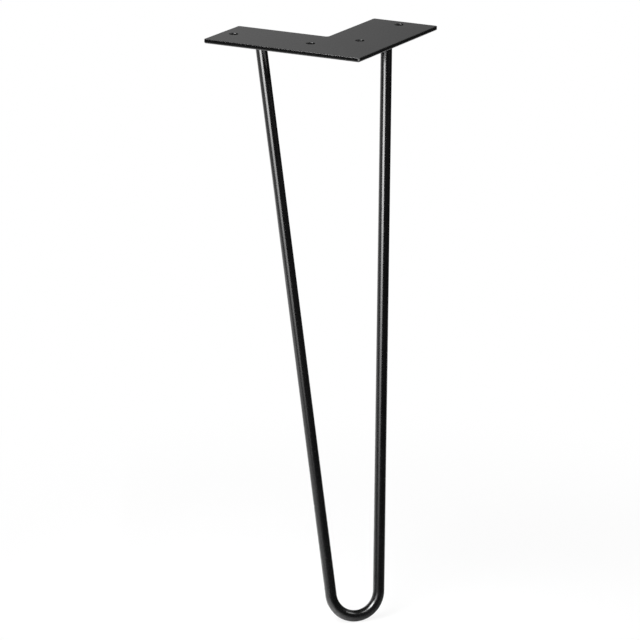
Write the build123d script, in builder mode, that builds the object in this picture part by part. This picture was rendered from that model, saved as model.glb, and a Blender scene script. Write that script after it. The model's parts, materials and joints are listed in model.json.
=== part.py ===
from build123d import *
from math import asin, atan2, cos, hypot, sin, sqrt
import os

# Hairpin table leg: an L-shaped mounting plate with one bent rod welded under it.
# The origin is on the mounting face, where the centre lines of the plate's two arms cross.
# One arm runs along -X and the other along +Y, and the foot leans out past their shared corner.

# Driving dimensions, in millimetres
overall_height = 400.0  # mounting face to floor

# Mounting plate, sheared from sheet steel
arm_length = 120.0  # from the outer edge of the other arm to the free end
arm_width = 50.0
plate_thickness = 3.0
corner_radius = 1.5
inner_corner_radius = 2.0
upper_edge_round = 0.4
lower_edge_round = 1.0  # the shear rolls the edge over on the rod's side

# Screw holes, on the centre line of each arm
hole_diameter = 6.0
hole_from_corner = 50.0  # nearer hole to the outer edge of the other arm
hole_from_end = 10.0  # farther hole to the free end
hole_rim_chamfer = 0.5

# Hairpin rod
rod_diameter = 8.0
rod_from_end = 31.5  # rod's axis to the free end of its arm
rod_from_edge = 24.0  # rod's axis to the outer edge of its arm
foot_splay = 89.0  # how far the foot stands outward of the rod's two ends
bend_radius = 17.5  # of the rod's centre line

# Fillet welds between rod and plate
weld_leg = 3.0  # along the plate and down the rod
weld_crown = 0.4  # how far the bead's face bulges past a straight slope

# Places on the plate
underside = -plate_thickness
outer_edge = arm_width / 2  # both outer edges lie this far from the origin
inner_corner = (-outer_edge, outer_edge, 0)
free_end = arm_length - outer_edge
near_hole = hole_from_corner - outer_edge
far_hole = free_end - hole_from_end
hole_places = [(-near_hole, 0), (-far_hole, 0), (0, near_hole), (0, far_hole)]

# Where the rod's axis meets the plate, on the arm along X and on the arm along Y
rod_radius = rod_diameter / 2
rod_along = free_end - rod_from_end
rod_aside = outer_edge - rod_from_edge
rod_end_x_arm = Vector(-rod_along, -rod_aside, underside)
rod_end_y_arm = Vector(rod_aside, rod_along, underside)

# The rod lies in one plane: across between its ends, and down and outward to the foot
across = Vector(1, 1, 0).normalized()
outward = Vector(1, -1, 0).normalized()
ends_middle = (rod_end_x_arm + rod_end_y_arm) / 2
half_span = (rod_end_y_arm - rod_end_x_arm).length / 2
foot_drop = overall_height - plate_thickness - rod_radius
upward = Vector(0, 0, foot_drop) - outward * foot_splay
hairpin_plane = Plane(origin=ends_middle, x_dir=across, z_dir=across.cross(upward))
hairpin_length = upward.length

# Each straight run is tangent to the bend, which fixes how far it leans towards the other run
bend_centre_drop = hairpin_length - bend_radius
run_lean = atan2(half_span, bend_centre_drop)
run_lean -= asin(bend_radius / hypot(half_span, bend_centre_drop))
tangent_across = bend_radius * cos(run_lean)
tangent_drop = bend_centre_drop + bend_radius * sin(run_lean)

# The runs are drawn past the underside and then trimmed flush with it
trim_length = rod_diameter
trim_across = half_span + trim_length * sin(run_lean)
trim_rise = trim_length * cos(run_lean)

# The bead's face is an arc from its toe on the plate, over its crown, to the rod
weld_toe = rod_radius + weld_leg
crown_drop = weld_leg / 2 + weld_crown / sqrt(2)
crown_reach = rod_radius + crown_drop

os.makedirs("parts", exist_ok=True)

# The L is two overlapping rectangles that share the outer corner
with BuildPart() as mounting_plate:
    with BuildSketch(Plane.XY.offset(underside)):
        with Locations((outer_edge, -outer_edge)):
            Rectangle(arm_length, arm_width, align=(Align.MAX, Align.MIN))
            Rectangle(arm_width, arm_length, align=(Align.MAX, Align.MIN))
    extrude(amount=plate_thickness)
    corners = mounting_plate.edges().filter_by(Axis.Z).sort_by_distance(inner_corner)
    fillet(corners[1:], radius=corner_radius)
    corners = mounting_plate.edges().filter_by(Axis.Z).sort_by_distance(inner_corner)
    fillet(corners[0], radius=inner_corner_radius)
    fillet(mounting_plate.faces().sort_by(Axis.Z)[-1].edges(), radius=upper_edge_round)
    fillet(mounting_plate.faces().sort_by(Axis.Z)[0].edges(), radius=lower_edge_round)
    with Locations(*hole_places):
        Hole(radius=hole_diameter / 2)
    rims = mounting_plate.edges(Select.LAST).filter_by(GeomType.CIRCLE)
    chamfer(rims, length=hole_rim_chamfer)
mounting_plate.part.label = "mounting_plate"
export_step(mounting_plate.part, "parts/mounting_plate.step")

# One bar: down one run, round the foot and up the other run
with BuildPart() as hairpin_rod:
    with BuildLine(hairpin_plane) as rod_axis:
        Line((-trim_across, trim_rise), (-tangent_across, -tangent_drop))
        ThreePointArc(
            (-tangent_across, -tangent_drop),
            (0, -hairpin_length),
            (tangent_across, -tangent_drop),
        )
        Line((tangent_across, -tangent_drop), (trim_across, trim_rise))
    with BuildSketch(Plane(origin=rod_axis.line @ 0, z_dir=rod_axis.line % 0)):
        Circle(rod_radius)
    sweep()
    split(bisect_by=Plane.XY.offset(underside), keep=Keep.BOTTOM)
hairpin_rod.part.label = "hairpin_rod"
export_step(hairpin_rod.part, "parts/hairpin_rod.step")

# A rounded bead of weld metal in the corner between rod and plate, once round each end
for name, rod_end in (("weld_bead_x_arm", rod_end_x_arm), ("weld_bead_y_arm", rod_end_y_arm)):
    with BuildPart() as weld_bead:
        with BuildSketch(Plane(origin=rod_end, x_dir=(1, 0, 0), z_dir=(0, -1, 0))):
            with BuildLine():
                Polyline((rod_radius, -weld_leg), (0, -weld_leg), (0, 0), (weld_toe, 0))
                ThreePointArc((weld_toe, 0), (crown_reach, -crown_drop), (rod_radius, -weld_leg))
            make_face()
        revolve(axis=Axis(rod_end, (0, 0, 1)))
        add(hairpin_rod.part, mode=Mode.SUBTRACT)
    weld_bead.part.label = name
    export_step(weld_bead.part, f"parts/{name}.step")
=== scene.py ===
# %% [markdown]
# # A hairpin table leg in black powder coat
# The leg is one round bar bent like a hairpin and welded under an L of sheet steel, then coated black.
# Its sizes come from a solid model, which is loaded here as a fixed frame and never moved. This lesson
# adds the look: finer meshes, the ripples of the welds, the coat, studio light and a camera.

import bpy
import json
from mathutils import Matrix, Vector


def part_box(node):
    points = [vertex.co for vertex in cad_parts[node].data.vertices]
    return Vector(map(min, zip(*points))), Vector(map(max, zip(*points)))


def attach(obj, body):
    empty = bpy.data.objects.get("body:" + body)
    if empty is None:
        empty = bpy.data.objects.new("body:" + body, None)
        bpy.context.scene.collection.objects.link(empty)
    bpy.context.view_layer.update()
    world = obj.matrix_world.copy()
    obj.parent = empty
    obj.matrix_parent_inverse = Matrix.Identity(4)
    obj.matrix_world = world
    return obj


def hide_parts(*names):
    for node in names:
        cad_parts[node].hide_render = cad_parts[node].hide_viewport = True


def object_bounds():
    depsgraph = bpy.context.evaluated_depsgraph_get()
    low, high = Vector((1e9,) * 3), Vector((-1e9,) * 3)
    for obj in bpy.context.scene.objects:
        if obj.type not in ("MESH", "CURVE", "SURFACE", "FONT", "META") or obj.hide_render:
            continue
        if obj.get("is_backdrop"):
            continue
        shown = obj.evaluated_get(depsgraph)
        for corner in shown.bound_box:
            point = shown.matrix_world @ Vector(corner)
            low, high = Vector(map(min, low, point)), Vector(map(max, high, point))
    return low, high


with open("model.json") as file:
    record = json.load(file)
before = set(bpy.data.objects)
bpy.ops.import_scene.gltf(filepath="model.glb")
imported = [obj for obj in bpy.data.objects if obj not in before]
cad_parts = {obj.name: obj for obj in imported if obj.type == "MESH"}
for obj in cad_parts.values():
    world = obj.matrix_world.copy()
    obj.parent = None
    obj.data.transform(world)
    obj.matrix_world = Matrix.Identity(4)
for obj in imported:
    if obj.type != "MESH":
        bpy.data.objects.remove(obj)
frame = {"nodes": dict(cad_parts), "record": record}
cad_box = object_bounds()
for name, solid in sorted(frame["nodes"].items()):
    print("solid", name, "measures", [round(size * 1000, 1) for size in solid.dimensions], "mm")

# %% [markdown]
# ## Places that the frame already knows
# A mesh that stands for a solid has to lie exactly where the solid is, so its places are read, not typed.
# The plate's box gives the outline, and the record's mounts give the screw holes and the point on the
# floor. Each weld goes round one end of the rod, so the middle of a weld's box is where that end is.

# %% Read places from the frame
import json
from functools import partial
from math import asin, atan2, cos, degrees, hypot, pi, radians, sin, tan

import bmesh
import bpy
from mathutils import Matrix, Vector
from mathutils.bvhtree import BVHTree

mounts = {mount["name"]: mount for mount in frame["record"]["mounts"]}
plate_low, plate_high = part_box("mounting_plate")
top, underside = plate_high.z, plate_low.z
floor_point = Vector(mounts["floor_contact"]["pos_m"])
weld_nodes = "weld_bead_x_arm", "weld_bead_y_arm"


def rod_end(weld_node):
    """Where the rod's centre line meets the underside of the plate, inside one weld."""
    low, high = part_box(weld_node)
    return Vector(((low.x + high.x) / 2, (low.y + high.y) / 2, underside))


rod_ends = [rod_end(node) for node in weld_nodes]
print("plate", round((top - underside) * 1000, 2), "mm thick")
print("floor", round((top - floor_point.z) * 1000, 1), "mm below its top")

# %% [markdown]
# ## The mounting plate
# The real plate is sheared from 3 mm sheet, so its corners are almost sharp and its lower edge rolls
# over. A cube with Boolean and Bevel modifiers could make it, but the bevels round the holes need
# cleaning up. Here each edge is a band of rings: the same outline is drawn again and again, a little
# further in each time, while the height follows the round. Flat faces then fill the space between the
# bands.

# %% Outline of the L
corner_radius = 0.0015
inner_corner_radius = 0.002
corner_steps = 8
straight_step = 0.004
arm_width = 2 * plate_high.x  # the origin lies on the centre lines of both arms
notch = Vector((plate_high.x - arm_width, plate_low.y + arm_width))
plate_corners = [
    Vector((plate_high.x, plate_low.y)),
    Vector((plate_high.x, plate_high.y)),
    Vector((notch.x, plate_high.y)),
    notch,
    Vector((plate_low.x, notch.y)),
    Vector((plate_low.x, plate_low.y)),
]


def plate_corner(place, inset):
    """One corner's arc, moved into the steel by inset, and the way that the edge faces along it."""
    corner = plate_corners[place]
    came = (corner - plate_corners[place - 1]).normalized()
    goes = (plate_corners[(place + 1) % len(plate_corners)] - corner).normalized()
    faced, faces = Vector((came.y, -came.x)), Vector((goes.y, -goes.x))
    radius, reach = corner_radius, corner_radius - inset
    if corner == notch:
        radius, reach = inner_corner_radius, -inner_corner_radius - inset
    centre = corner + (goes - came) * radius
    turns = [pi / 2 * step / corner_steps for step in range(corner_steps + 1)]
    facings = [faced * cos(turn) + faces * sin(turn) for turn in turns]
    return [(centre + facing * reach, facing) for facing in facings]


def plate_outline(inset):
    """Points round the whole L, with short steps along its straight sides."""
    arcs = [plate_corner(place, inset) for place in range(len(plate_corners))]
    points = []
    for place, arc in enumerate(arcs):
        points += arc
        start, facing = arc[-1]
        run = arcs[(place + 1) % len(arcs)][0][0] - start
        side = plate_corners[(place + 1) % len(arcs)] - plate_corners[place]
        steps = round(side.length / straight_step)
        points += [(start + run * step / steps, facing) for step in range(1, steps)]
    return points


print("outline of", len(plate_outline(0)), "points, arms", round(arm_width * 1000, 1), "mm wide")

# %% Screw holes from the mounts
hole_sides = 48
hole_centres = []
for name in ("x_arm_screws", "y_arm_screws"):
    dims = mounts[name]["dims"]
    hole_radius = dims["hole_r_mm"] / 1000
    spacing = Vector((dims.get("spacing_x_mm", 0), dims.get("spacing_y_mm", 0))) / 1000
    middle = Vector(mounts[name]["pos_m"][:2])
    hole_centres += [middle - spacing / 2, middle + spacing / 2]


def hole_outline(centre, inset):
    """Points round one screw hole, moved into the steel by inset."""
    turns = [2 * pi * side / hole_sides for side in range(hole_sides)]
    facings = [Vector((-cos(turn), -sin(turn))) for turn in turns]
    return [(centre - facing * (hole_radius + inset), facing) for facing in facings]


print(len(hole_centres), "screw holes of", round(hole_radius * 2000, 2), "mm")

# %% Rounded edges
upper_round = 0.0004
lower_round = 0.001
hole_round = 0.0005
round_steps = 6


def edge_profile(upper, lower):
    """Rows of inset, height and tilt from the upper face, down the edge, to the lower face."""
    rows = []
    for step in range(round_steps + 1):
        tilt = pi / 2 * (1 - step / round_steps)
        rows.append((upper * (1 - cos(tilt)), top - upper * (1 - sin(tilt)), tilt))
    for step in range(round_steps + 1):
        tilt = -pi / 2 * step / round_steps
        rows.append((lower * (1 - cos(tilt)), underside + lower * (1 + sin(tilt)), tilt))
    return rows


def join_rings(build, rings):
    """Quads between each ring of points and the next."""
    for ring, after in zip(rings, rings[1:]):
        for side in range(len(ring)):
            build.faces.new((ring[side - 1], ring[side], after[side], after[side - 1]))


def edge_band(build, normals, outline_at, upper, lower):
    """Rings of points down one edge of the sheet. The way that each point faces is added to normals."""
    rings = []
    for inset, height, tilt in edge_profile(upper, lower):
        outline = outline_at(inset)
        rings.append([build.verts.new((place.x, place.y, height)) for place, facing in outline])
        normals += [(facing.x * cos(tilt), facing.y * cos(tilt), sin(tilt)) for place, facing in outline]
    join_rings(build, rings)
    return rings


print("each edge is", len(edge_profile(upper_round, lower_round)), "rings")

# %% Build the plate
def ring_edges(build, ring):
    """The edges that run round a ring of points."""
    return [build.edges.get((ring[side - 1], ring[side])) for side in range(len(ring))]


def shown(build, name, normals=None):
    """Turns drawn faces into a smooth-shaded object, and says whether its skin is closed."""
    bmesh.ops.recalc_face_normals(build, faces=build.faces)
    for face in build.faces:
        face.smooth = True
    open_edges = sum(len(edge.link_faces) != 2 for edge in build.edges)
    mesh = bpy.data.meshes.new(name)
    build.to_mesh(mesh)
    build.free()
    if normals:
        mesh.normals_split_custom_set_from_vertices(normals)
    piece = bpy.data.objects.new(name, mesh)
    bpy.context.scene.collection.objects.link(piece)
    print(name, "has", len(mesh.polygons), "faces and", open_edges, "open edges")
    return piece


def make_plate():
    """The L of sheet with its screw holes, as one closed skin."""
    build = bmesh.new()
    normals = []
    bands = [edge_band(build, normals, plate_outline, upper_round, lower_round)]
    for centre in hole_centres:
        bands.append(edge_band(build, normals, partial(hole_outline, centre), hole_round, hole_round))
    for level in (0, -1):
        borders = [edge for rings in bands for edge in ring_edges(build, rings[level])]
        bmesh.ops.triangle_fill(build, edges=borders, use_beauty=True, normal=(0, 0, 1))
    return shown(build, "coated_plate", normals)


def stray(piece, node):
    """The farthest that the solid's own points lie from the new mesh, in millimetres."""
    tree = BVHTree.FromObject(piece, bpy.context.evaluated_depsgraph_get())
    return max(tree.find_nearest(vertex.co)[3] for vertex in frame["nodes"][node].data.vertices) * 1000


plate = make_plate()
print("plate strays", round(stray(plate, "mounting_plate"), 3), "mm from its solid")

# %% [markdown]
# ## The hairpin rod
# A straight bar is pulled round a former, which leaves two straight runs and one round bend between them.
# A curve with a bevel makes a tube at once, but cuts its ends square to the bar. These rings are placed
# one by one, so that the end rings can slide along the bar until they lie flat against the plate, as the
# mitred ends of the real bar do before they are welded.

# %% Centre line of the bar
rod_radius = 0.00399  # a hair inside the solid, whose facets are coarser
bend_radius = 0.0175
run_rings = 64
bend_rings = 48
ends_middle = (rod_ends[0] + rod_ends[1]) / 2
across = (rod_ends[1] - rod_ends[0]).normalized()
half_span = (rod_ends[1] - rod_ends[0]).length / 2
foot = floor_point + Vector((0, 0, rod_radius))
down = (foot - ends_middle).normalized()
square = across.cross(down)  # square to the flat plane that the hairpin lies in
bend_centre = foot - down * bend_radius
bend_drop = (bend_centre - ends_middle).length
lean = atan2(half_span, bend_drop) - asin(bend_radius / hypot(half_span, bend_drop))


def bend_point(turn):
    """A point of the bend, and the way the bar runs there, at a turn from the across direction."""
    place = bend_centre + (across * cos(turn) + down * sin(turn)) * bend_radius
    return place, across * sin(turn) - down * cos(turn)


def rod_line():
    """Points down the first run, round the bend and up the second run, each with the bar's direction."""
    turns = [pi - lean + (2 * lean - pi) * ring / bend_rings for ring in range(bend_rings + 1)]
    bend = [bend_point(turn) for turn in turns]
    shares = [ring / run_rings for ring in range(run_rings)]
    first = [(rod_ends[0].lerp(bend[0][0], share), bend[0][1]) for share in shares]
    second = [(rod_ends[1].lerp(bend[-1][0], share), bend[-1][1]) for share in shares]
    return first + bend + second[::-1]


print("the runs lean", round(degrees(lean), 2), "degrees towards each other")

# %% Build the rod
rod_sides = 48


def make_rod():
    """The bent bar, with both ends cut level so that they seat on the plate."""
    build = bmesh.new()
    line = rod_line()
    turns = [2 * pi * spot / rod_sides for spot in range(rod_sides)]
    rings = []
    for place, along in line:
        side = along.cross(square)
        rings.append([place + (side * cos(turn) + square * sin(turn)) * rod_radius for turn in turns])
    for end in (0, -1):
        along = line[end][1]
        for point in rings[end]:
            point += along * ((underside - point.z) / along.z)
    rings = [[build.verts.new(point) for point in ring] for ring in rings]
    join_rings(build, rings)
    for end in (0, -1):
        build.faces.new(rings[end])
        for edge in ring_edges(build, rings[end]):
            edge.smooth = False
    return shown(build, "coated_rod")


rod = make_rod()
print("rod strays", round(stray(rod, "hairpin_rod"), 3), "mm from its solid")

# %% [markdown]
# ## The weld beads
# Each end of the bar is welded all the way round. The welder stops for a moment at every drop of filler,
# so the bead is a row of overlapping crescents, which the coat softens but doesn't hide. A bump texture
# would only fake them. The bead is a ring of thin sections instead, and each section bulges a little more
# or less, in a wave that bows forward in the middle of the bead.

# %% Section of a bead
weld_low, weld_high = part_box("weld_bead_x_arm")
weld_leg = weld_high.z - weld_low.z
weld_crown = 0.0004
weld_root = 0.001  # how deep the bead's hidden side lies inside the bar
face_steps = 14
ripple_count = 23
ripple_height = 0.00022
ripple_bow = 0.55  # how far the middle of a ripple runs ahead, as a share of one ripple
pace_waves = 3  # the welder's hand goes faster and slower this often on its way round
toe_wander = 0.00018
slow_waves, quick_waves = 5, 11  # how often the bead's outer rim wanders out and in
face_slope = cos(pi / 4)  # the face leans half way between the bar and the plate


def bead_section(around, seed):
    """Reach from the bar's axis and drop below the plate, over the face and back inside the bar."""
    wander = toe_wander * (sin(slow_waves * around + seed) + sin(quick_waves * around + 2 * seed)) / 2
    section = []
    for step in range(face_steps + 1):
        share = step / face_steps
        swell = 4 * share * (1 - share)
        beat = ripple_count * around + sin(pace_waves * around + seed) + 2 * pi * ripple_bow * swell
        bulge = swell * (weld_crown - ripple_height * (0.5 - 0.5 * cos(beat)))
        reach = rod_radius + (weld_leg + wander) * (1 - share) + bulge * face_slope
        section.append((reach, weld_leg * share + bulge * face_slope))
    inside = rod_radius - weld_root
    return section + [(inside, weld_leg - weld_root), (inside, 0)]


print("bead of", round(weld_leg * 1000, 2), "mm legs with", ripple_count, "ripples")

# %% Build the beads
bead_sides = 276
bead_seeds = 0.7, 2.9  # so that the two beads aren't alike


def make_bead(name, end, along, seed):
    """A closed ring of sections round one end of the bar, leaning with it."""
    build = bmesh.new()
    slant = Vector((along.x, along.y, 0)) / -along.z
    rings = []
    for side in range(bead_sides):
        around = 2 * pi * side / bead_sides
        outward = Vector((cos(around), sin(around), 0))
        places = [end + outward * reach + slant * drop - Vector((0, 0, drop))
                  for reach, drop in bead_section(around, seed)]
        rings.append([build.verts.new(place) for place in places])
    join_rings(build, rings + rings[:1])
    for ring, after in zip(rings, rings[1:] + rings[:1]):
        for hem in (0, face_steps):
            build.edges.get((ring[hem], after[hem])).smooth = False
    return shown(build, name)


run_ways = [bend_point(pi - lean)[1], -bend_point(lean)[1]]
beads = {}
for node, end, way, seed in zip(weld_nodes, rod_ends, run_ways, bead_seeds):
    beads[node] = make_bead(node.replace("weld_bead", "coated_weld"), end, way, seed)
    print(node, "strays", round(stray(beads[node], node), 3), "mm from its solid")

# %% [markdown]
# ## Standing in for the solids
# On the real leg the plate, the rod and the welds have become one piece, and nothing on it moves. Joining
# the meshes would hide that history, so each one takes the place of its own solid instead, and rides on
# the leg's only body.

# %% Put the meshes in place of the solids
pieces = {"mounting_plate": plate, "hairpin_rod": rod, **beads}
for node, piece in pieces.items():
    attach(piece, "root")
    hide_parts(node)
print("stood for:", ", ".join(f"{node} by {piece.name}" for node, piece in pieces.items()))

# %% [markdown]
# ## The powder coat
# Powder coat is sprayed on dry and melted in an oven. It flows almost level, but keeps a faint orange
# peel a few millimetres across, with a finer grain in it, and it is never equally glossy all over. A
# black base colour and one roughness would look like plastic. The black is so deep that nearly all the
# eye sees is reflection, so the detail goes into the height and the gloss, and only a trace into the
# colour. The peel lies deeper on the welds, where the powder clings, and is flattest on the thin rod.

# %% Nodes of the coat
peel_size = 0.0022
grain_size = 0.0005
cloud_size = 0.03


def noise(tree, size, detail):
    """A noise texture whose lumps are about as wide as size, in metres."""
    place = tree.nodes.new("ShaderNodeTexCoord")
    texture = tree.nodes.new("ShaderNodeTexNoise")
    texture.inputs["Scale"].default_value = 1 / size
    texture.inputs["Detail"].default_value = detail
    tree.links.new(place.outputs["Object"], texture.inputs["Vector"])
    return texture.outputs["Fac"]


def ease(tree, value, start, stop, low, high):
    """Goes smoothly from low to high while the value goes from start to stop."""
    node = tree.nodes.new("ShaderNodeMapRange")
    node.interpolation_type = "SMOOTHSTEP"
    for name, number in (("From Min", start), ("From Max", stop), ("To Min", low), ("To Max", high)):
        node.inputs[name].default_value = number
    tree.links.new(value, node.inputs["Value"])
    return node.outputs["Result"]


def bump(tree, height, depth, under=None):
    """Raises the surface where the height is large, by up to depth in metres, over another bump."""
    node = tree.nodes.new("ShaderNodeBump")
    node.inputs["Distance"].default_value = depth
    tree.links.new(height, node.inputs["Height"])
    if under:
        tree.links.new(under, node.inputs["Normal"])
    return node.outputs["Normal"]


widths = [size * 1000 for size in (peel_size, grain_size, cloud_size)]
print("peel, grain and clouds are", widths, "mm wide")

# %% Mix the coat
deep_black = (0.002, 0.002, 0.0021, 1)
soft_black = (0.0042, 0.0042, 0.0044, 1)
cloud_stops = 0.35, 0.65  # the clouds are deep black up to the first and soft black from the second
grain_stops = 0.3, 0.7  # the grain is glossy up to the first and dull from the second
coat_ior = 1.5
clear_weight = 0.5  # a clear skin over the black, smoother than what lies under it
clear_roughness = 0.1
micron = 0.000001


def powder_coat(name, peel_depth, grain_depth, glossy, dull):
    """Black powder coat with an orange peel, a fine grain and uneven gloss."""
    material = bpy.data.materials.new(name)
    material.use_nodes = True
    tree = material.node_tree
    shader = tree.nodes["Principled BSDF"]
    peel = noise(tree, peel_size, 2)
    grain = noise(tree, grain_size, 1)
    clouds = noise(tree, cloud_size, 4)
    tint = tree.nodes.new("ShaderNodeValToRGB")
    for stop, place, colour in zip(tint.color_ramp.elements, cloud_stops, (deep_black, soft_black)):
        stop.position = place
        stop.color = colour
    tree.links.new(clouds, tint.inputs["Fac"])
    tree.links.new(tint.outputs["Color"], shader.inputs["Base Color"])
    tree.links.new(ease(tree, grain, *grain_stops, glossy, dull), shader.inputs["Roughness"])
    normal = bump(tree, grain, grain_depth, bump(tree, peel, peel_depth))
    for socket in ("Normal", "Coat Normal"):
        tree.links.new(normal, shader.inputs[socket])
    shader.inputs["IOR"].default_value = coat_ior
    shader.inputs["Coat Weight"].default_value = clear_weight
    shader.inputs["Coat Roughness"].default_value = clear_roughness
    depths = [round(depth / micron, 1) for depth in (peel_depth, grain_depth)]
    print(name, "has a peel and a grain", depths, "thousandths of a millimetre deep")
    return material


plate_coat = powder_coat("coat_on_plate", 14 * micron, 1.5 * micron, glossy=0.15, dull=0.21)
rod_coat = powder_coat("coat_on_rod", 7 * micron, 1 * micron, glossy=0.22, dull=0.28)
weld_coat = powder_coat("coat_on_weld", 40 * micron, 6 * micron, glossy=0.3, dull=0.4)
plate.data.materials.append(plate_coat)
rod.data.materials.append(rod_coat)
for bead in beads.values():
    bead.data.materials.append(weld_coat)

# %% [markdown]
# ## The camera
# The photograph was taken from a little left of the foot's corner and from above, through a long lens. A
# camera can be turned by hand until the picture fits, but the last degree is hard to see that way. These
# angles come from matching the plate's corners and the rod's edges in the picture. A camera's own axes
# are right, up and back, so a matrix of those three turns it without any rotation order.

# %% Place the camera
view_azimuth = radians(27.56)
view_elevation = radians(16.52)
view_roll = radians(0.59)
view_distance = 2.6644
view_target = Vector((-0.0134, -0.0044, -0.1942))
view_lens = 215.7
view_sensor = 36


def towards(azimuth, elevation):
    """A direction from the leg: azimuth 0 is along -Y and grows towards +X."""
    return Vector((sin(azimuth) * cos(elevation), -cos(azimuth) * cos(elevation), sin(elevation)))


back = towards(view_azimuth, view_elevation)
level = Vector((cos(view_azimuth), sin(view_azimuth), 0))
right = Matrix.Rotation(view_roll, 3, back) @ level
camera = bpy.data.objects.new("camera", bpy.data.cameras.new("camera"))
camera.data.lens = view_lens
camera.data.sensor_width = view_sensor
axes = Matrix((right, back.cross(right), back)).transposed()
camera.matrix_world = Matrix.Translation(view_target + back * view_distance) @ axes.to_4x4()
bpy.context.scene.collection.objects.link(camera)
bpy.context.scene.camera = camera
bpy.context.scene.view_settings.view_transform = "Standard"
print("camera", round(view_distance, 2), "m away with a", view_lens, "mm lens")

# %% [markdown]
# ## The paper under the leg
# The picture has no horizon. The leg stands on glossy white paper, and only a breath of shadow is left on
# it. A white floor turns plain white under strong enough lamps, but those would be far too bright for the
# coat. So the paper tells rays apart. A ray from the camera meets white, mixed near the foot with a
# little of the paper as it is lit, which carries the shadow. A ray that the coat has mirrored meets a
# painted white glow where the paper runs out to the front and the left. Nearer the foot it meets the lit
# paper, whose colour carries a painted pool of light, pale to the left of the foot and behind it, and
# painted shade, dim in front and to the right. That is what the bend shows. From below the paper is clear.

# %% Nodes of the paper
def combine(tree, operation, first, second):
    """One step of arithmetic between sockets or plain numbers."""
    node = tree.nodes.new("ShaderNodeMath")
    node.operation = operation
    for socket, value in zip(node.inputs, (first, second)):
        if isinstance(value, (int, float)):
            socket.default_value = value
        else:
            tree.links.new(value, socket)
    return node.outputs[0]


def compare(tree, operation, way, vector):
    """How far a point is from a vector, or how much a direction agrees with it."""
    node = tree.nodes.new("ShaderNodeVectorMath")
    node.operation = operation
    node.inputs[1].default_value = vector
    tree.links.new(way, node.inputs[0])
    return node.outputs["Value"]


def mix(tree, share, first, second):
    """The first shader where the share is 0 and the second where it is 1."""
    node = tree.nodes.new("ShaderNodeMixShader")
    for socket, value in zip(node.inputs, (share, first, second)):
        tree.links.new(value, socket)
    return node.outputs[0]


print("the foot stands on the paper at", [round(x * 1000, 1) for x in floor_point], "mm")

# %% White paper
paper_white = 0.88
painted_shade_dim = 0.17
paper_gloss = 0.1
# painted pool of light and painted shade: for mirrored rays the paper's colour is pale round this middle
# and behind the foot, and painted dim elsewhere
painted_pool_middle = towards(radians(-75), 0) * 0.2
painted_pool_near, painted_pool_far = 0.17, 0.22
painted_back_way = towards(radians(225), 0)
painted_back_near, painted_back_far = 0.03, 0.25
# painted glow: out to the front and the left the paper glows white to rays that the coat mirrors
painted_glow_way = towards(radians(-50), 0)
painted_glow_near, painted_glow_far = 0.15, 0.3
shadow_share = 0.12
shadow_near, shadow_far = 0.1, 0.5


def paper_material():
    """White to the camera. For the coat: a painted glow far out, painted light and shade near the foot."""
    material = bpy.data.materials.new("white_paper")
    material.use_nodes = True
    tree = material.node_tree
    place = tree.nodes.new("ShaderNodeTexCoord").outputs["Object"]
    path = tree.nodes.new("ShaderNodeLightPath").outputs
    from_pool = compare(tree, "DISTANCE", place, painted_pool_middle)
    # painted pool of light: pale paper near its middle, painted dim shade further out
    left = ease(tree, from_pool, painted_pool_near, painted_pool_far, paper_white, painted_shade_dim)
    backward = compare(tree, "DOT_PRODUCT", place, painted_back_way)
    # painted light: the paper's colour is pale behind the foot
    behind = ease(tree, backward, painted_back_near, painted_back_far, 0, paper_white)
    seen_white = combine(tree, "MULTIPLY", path["Is Camera Ray"], paper_white)
    pale = combine(tree, "MAXIMUM", combine(tree, "MAXIMUM", left, behind), seen_white)
    paper = tree.nodes["Principled BSDF"]
    paper.inputs["Roughness"].default_value = paper_gloss
    tree.links.new(pale, paper.inputs["Base Color"])
    white = tree.nodes.new("ShaderNodeEmission")
    from_foot = compare(tree, "DISTANCE", place, (0, 0, 0))
    shadow = ease(tree, from_foot, shadow_near, shadow_far, shadow_share, 0)
    direct = combine(tree, "SUBTRACT", path["Is Camera Ray"], shadow)
    # painted glow that the coat mirrors, shown only to mirrored rays
    forward = compare(tree, "DOT_PRODUCT", place, painted_glow_way)
    front = ease(tree, forward, painted_glow_near, painted_glow_far, 0, 1)
    mirrored = combine(tree, "MULTIPLY", path["Is Glossy Ray"], front)
    share = combine(tree, "MAXIMUM", direct, mirrored)
    seen = mix(tree, share, paper.outputs[0], white.outputs[0])
    clear = tree.nodes.new("ShaderNodeBsdfTransparent")
    from_below = tree.nodes.new("ShaderNodeNewGeometry").outputs["Backfacing"]
    surface = mix(tree, from_below, seen, clear.outputs[0])
    tree.links.new(surface, tree.nodes["Material Output"].inputs["Surface"])
    return material


print("paper of", paper_white, "to the camera, and", painted_shade_dim, "close in front where the coat mirrors it")

# %% Lay the paper
floor_radius = 1.2
floor_sides = 128


def make_floor():
    """A round sheet of the paper, with its middle under the foot."""
    build = bmesh.new()
    bmesh.ops.create_circle(build, cap_ends=True, radius=floor_radius, segments=floor_sides)
    mesh = bpy.data.meshes.new("paper_floor")
    build.to_mesh(mesh)
    build.free()
    mesh.materials.append(paper_material())
    floor = bpy.data.objects.new("paper_floor", mesh)
    floor.location = floor_point
    bpy.context.scene.collection.objects.link(floor)
    return floor


floor = make_floor()
floor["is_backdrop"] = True
print("floor of", floor_radius, "m radius at", round(floor.location.z * 1000, 1), "mm")

# %% [markdown]
# ## The lamps
# A black coat shows the room more than itself: each light line in the photograph is the picture of a
# lamp. A few big lamps would light the leg evenly, but then every run would mirror them from end to end.
# So each lamp is placed by working backwards. The way that the surface faces under a light line, and the
# place of the camera, give the direction that the line mirrors, and there the lamp stands. The lines on
# the runs fade towards the foot, so dimmer and dimmer strips hang below the key lamp. Two things keep a
# lamp off what it isn't for. A grid, the honeycomb that photographers clip on a softbox, narrows its
# cone, and Blender's spread does the same. Light linking keeps a lamp to the objects of one collection,
# where a photographer would hold up a black card.

# %% A softbox
leg_middle = (cad_box[0] + cad_box[1]) / 2


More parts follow.
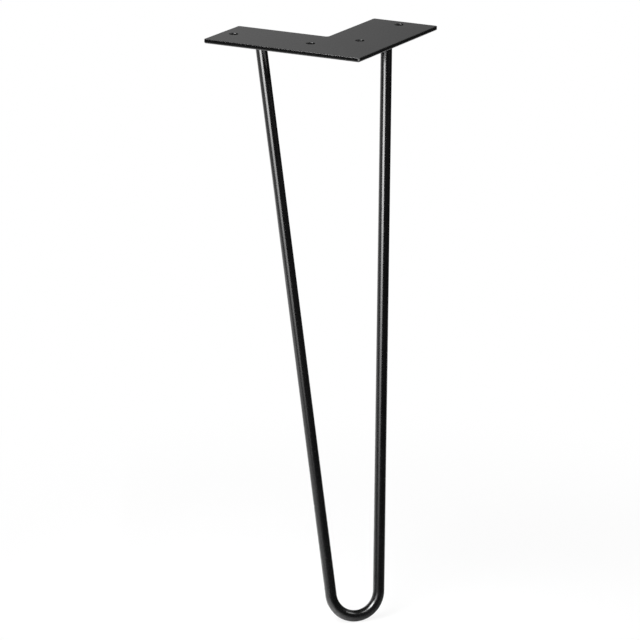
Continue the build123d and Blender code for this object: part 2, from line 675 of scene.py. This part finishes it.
def softbox(name, azimuth, elevation, distance, size, brightness, aim, grid=180, only=None):
    """A rectangular lamp that stands in a direction from its aim and faces it.

    Size is its width and height, and brightness is what a mirror shows of it, where 1 is white paper.
    Grid is the width of its cone in degrees. Only is the collection that it lights, or None for all.
    """
    cone = radians(grid) / 2
    lamp = bpy.data.lights.new(name, "AREA")
    lamp.shape = "RECTANGLE"
    lamp.size, lamp.size_y = size
    lamp.spread = 2 * cone
    # A narrow cone makes the same power look brighter, so the power comes down with it
    lamp.energy = brightness * pi * lamp.size * lamp.size_y * (1 - cone / tan(cone))
    box = bpy.data.objects.new(name, lamp)
    way = towards(radians(azimuth), radians(elevation))
    box.location = aim + way * distance
    box.rotation_euler = way.to_track_quat("Z", "Y").to_euler()
    box.visible_camera = False
    box.light_linking.receiver_collection = only
    bpy.context.scene.collection.objects.link(box)
    print(name, "at", [round(x, 2) for x in box.location], "m gives", round(lamp.energy, 3), "W")


def beside_leg(height):
    """A point on the upright line through the middle of the leg."""
    return Vector((leg_middle.x, leg_middle.y, height))


def gather(name, members):
    """A collection of the objects that a lamp is kept to."""
    group = bpy.data.collections.new(name)
    for member in members:
        group.objects.link(member)
    return group


print("the lamps stand round", [round(x, 3) for x in leg_middle], "m")

# %% Lamps that draw the runs
key_azimuth = -1
key_distance = 0.97
key_grid = 66
key_width = 0.72
key_low, key_high = 0.05, 0.22
key_brightness = 22.5
fade_height = 0.07
fade = 10.5, 5.7, 3.1, 1.4, 0.6  # how bright each strip under the key lamp is
rod_alone = gather("rod_alone", [rod])


def key_strip(name, low, high, brightness, only=None):
    """A wide lamp in front of the leg, between two heights."""
    softbox(name, key_azimuth, elevation=0, distance=key_distance, size=(key_width, high - low),
            brightness=brightness, aim=beside_leg((low + high) / 2), grid=key_grid, only=only)


key_strip("key_lamp", key_low, key_high, key_brightness)
for step, brightness in enumerate(fade):
    high = key_low - fade_height * step
    key_strip(f"key_fade_{step}", high - fade_height, high, brightness, rod_alone)
softbox("left_card", azimuth=-115, elevation=-8, distance=0.7, size=(0.6, 0.26), brightness=1,
        aim=beside_leg(-0.1))
softbox("left_wall", azimuth=-60, elevation=0, distance=0.6, size=(0.66, 0.36), brightness=0.5,
        aim=beside_leg(-0.18), only=rod_alone)

# %% Lamps that draw the bend
softbox("foot_lamp", azimuth=-4, elevation=49, distance=0.5, size=(0.42, 0.22), brightness=30,
        aim=floor_point, grid=44)  # the bright crescent
softbox("top_lamp", azimuth=30, elevation=62, distance=0.9, size=(0.35, 0.3), brightness=4,
        aim=floor_point)  # its tail
softbox("right_lamp", azimuth=105, elevation=50, distance=0.9, size=(0.3, 0.3), brightness=4,
        aim=floor_point)

# %% Lamps that draw the plate
plate_middle = Vector((0, 0, top))
outer_corner = Vector((plate_high.x, plate_low.y, underside))
all_but_rod = gather("all_but_rod", [plate, *beads.values(), floor])

softbox("back_strip", azimuth=160, elevation=40, distance=1.1, size=(0.3, 0.9), brightness=2.5,
        aim=plate_middle, grid=40)
softbox("high_lamp", azimuth=-38, elevation=66, distance=0.9, size=(0.36, 0.6), brightness=16,
        aim=plate_middle, only=all_but_rod)  # the glints in the holes
for azimuth in (16, 40, 64, 88):  # the spot of light on the outer corner comes from below
    softbox(f"corner_card_{azimuth}", azimuth, elevation=-16.5, distance=0.9, size=(0.4, 0.25),
            brightness=9, aim=outer_corner, grid=24, only=all_but_rod)
for azimuth in (45, 77, 109):  # dim cards that the top mirrors when it is seen from behind
    softbox(f"plate_card_{azimuth}", azimuth, elevation=21, distance=0.9, size=(0.5, 0.3),
            brightness=0.5, aim=plate_middle, grid=30, only=all_but_rod)
softbox("ceiling_card", azimuth=225, elevation=84, distance=0.9, size=(0.3, 0.3), brightness=1.5,
        aim=plate_middle, grid=60, only=all_but_rod)

# %% [markdown]
# ## The room
# More white paper hangs behind the leg, a little out of the light. The flat top of the plate mirrors it,
# and so it is the palest part of a black leg. The rest of the room is dark. A picture of a studio could
# surround the scene, but a few nodes can be changed by hand and need no file. The world is asked for its
# light by direction. A ray that has bounced off the coat sees the paper only where it hangs, and a ray
# straight from the camera, or through something clear, sees white all round.

# %% Hang the paper behind
room_strength = 0.03
paper_strength = 0.295
paper_way = -towards(view_azimuth + radians(33), 0)
side_fade = 0.72, 0.86  # how nearly a ray points at the middle of the paper, where its sides fade in
foot_fade = -0.02, 0.1  # how steeply a ray climbs, where the foot of the paper fades in


def make_room():
    """A dark world, with white paper hung in one direction for the coat to mirror."""
    world = bpy.data.worlds.new("studio")
    world.use_nodes = True
    tree = world.node_tree
    way = tree.nodes.new("ShaderNodeTexCoord").outputs["Generated"]
    path = tree.nodes.new("ShaderNodeLightPath").outputs
    behind = ease(tree, compare(tree, "DOT_PRODUCT", way, paper_way), *side_fade, 0, 1)
    above = ease(tree, compare(tree, "DOT_PRODUCT", way, (0, 0, 1)), *foot_fade, 0, paper_strength)
    mirrored = combine(tree, "MULTIPLY", path["Is Glossy Ray"], combine(tree, "MULTIPLY", behind, above))
    direct = combine(tree, "MAXIMUM", path["Is Camera Ray"], path["Is Transmission Ray"])
    strength = combine(tree, "MAXIMUM", combine(tree, "MAXIMUM", direct, mirrored), room_strength)
    tree.links.new(strength, tree.nodes["Background"].inputs["Strength"])
    tree.nodes["Background"].inputs["Color"].default_value = (1, 1, 1, 1)
    return world


bpy.context.scene.world = make_room()
print("the room glows at", room_strength, "and the paper behind the leg at", paper_strength)

# %% [markdown]
# ## Checking the size
# A coat is part of the leg's size, so the dressed leg may not be larger than the solid model. Both boxes
# are measured, and the largest gap between them is printed.

# %% Measure both boxes and print their gap
seen_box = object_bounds()
gaps = [abs(a - b) for cad, seen in zip(cad_box, seen_box) for a, b in zip(cad, seen)]
print("the two boxes differ by at most", round(max(gaps) * 1000, 4), "mm")
